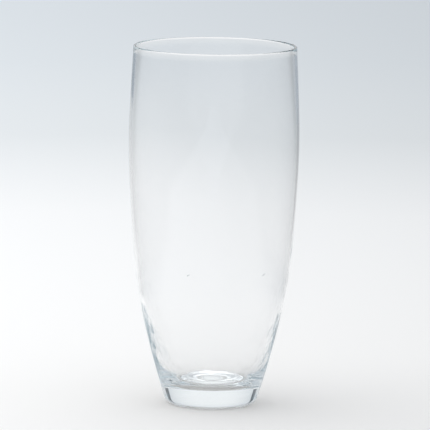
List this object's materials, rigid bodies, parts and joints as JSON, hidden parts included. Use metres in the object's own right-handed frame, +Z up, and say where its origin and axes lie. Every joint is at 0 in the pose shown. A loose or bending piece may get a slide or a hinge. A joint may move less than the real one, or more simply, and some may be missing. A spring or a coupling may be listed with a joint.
{
  "type": "flower vase",
  "caption": "Tall barrel-shaped clear glass flower vase with a fire-polished rim, thin walls and a heavy solid foot; holds water and cut stems.",
  "frame": {"origin": "centre of the foot, on the table", "axes": "+Z up along the vase's axis, out of the mouth; the vase is round, so X and Y are alike"},
  "size_m": [0.1419, 0.142, 0.3],
  "materials": {
    "clear_glass": "clear blown glass, smooth and glossy, faint blue-green where it is thick"
  },
  "bodies": {
    "root": {"vase": "clear_glass"}
  },
  "joints": []
}
